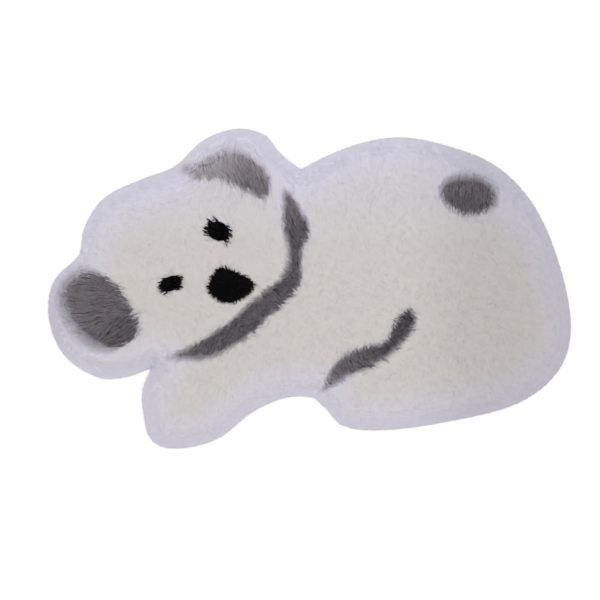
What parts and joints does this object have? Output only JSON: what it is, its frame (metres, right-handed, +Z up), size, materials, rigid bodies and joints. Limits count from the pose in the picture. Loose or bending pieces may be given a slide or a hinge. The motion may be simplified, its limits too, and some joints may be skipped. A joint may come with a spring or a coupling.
{
  "type": "koala shaped fur rug",
  "caption": "Flat long-pile fur rug in the outline of a koala lying on its front, white with grey ears, chin, thigh and tail and black eyes and nose.",
  "frame": {"origin": "on the floor, at the middle of the rug's outline", "axes": "+X towards the koala's rump, along the rug's length; +Y towards its back; +Z up out of the pile"},
  "size_m": [0.8999, 0.5503, 0.0252],
  "materials": {
    "white_fur": "long soft pile, matt with a slight sheen along the strands",
    "grey_fur": "long soft pile, matt with a slight sheen along the strands",
    "black_fur": "long soft pile, matt"
  },
  "bodies": {
    "root": {"white_ground": "white_fur", "ear_upper_inlay": "grey_fur", "ear_lower_inlay": "grey_fur", "chin_band_inlay": "grey_fur", "thigh_band_inlay": "grey_fur", "tail_patch_inlay": "grey_fur", "eye_upper_inlay": "black_fur", "eye_lower_inlay": "black_fur", "nose_inlay": "black_fur"}
  },
  "joints": []
}
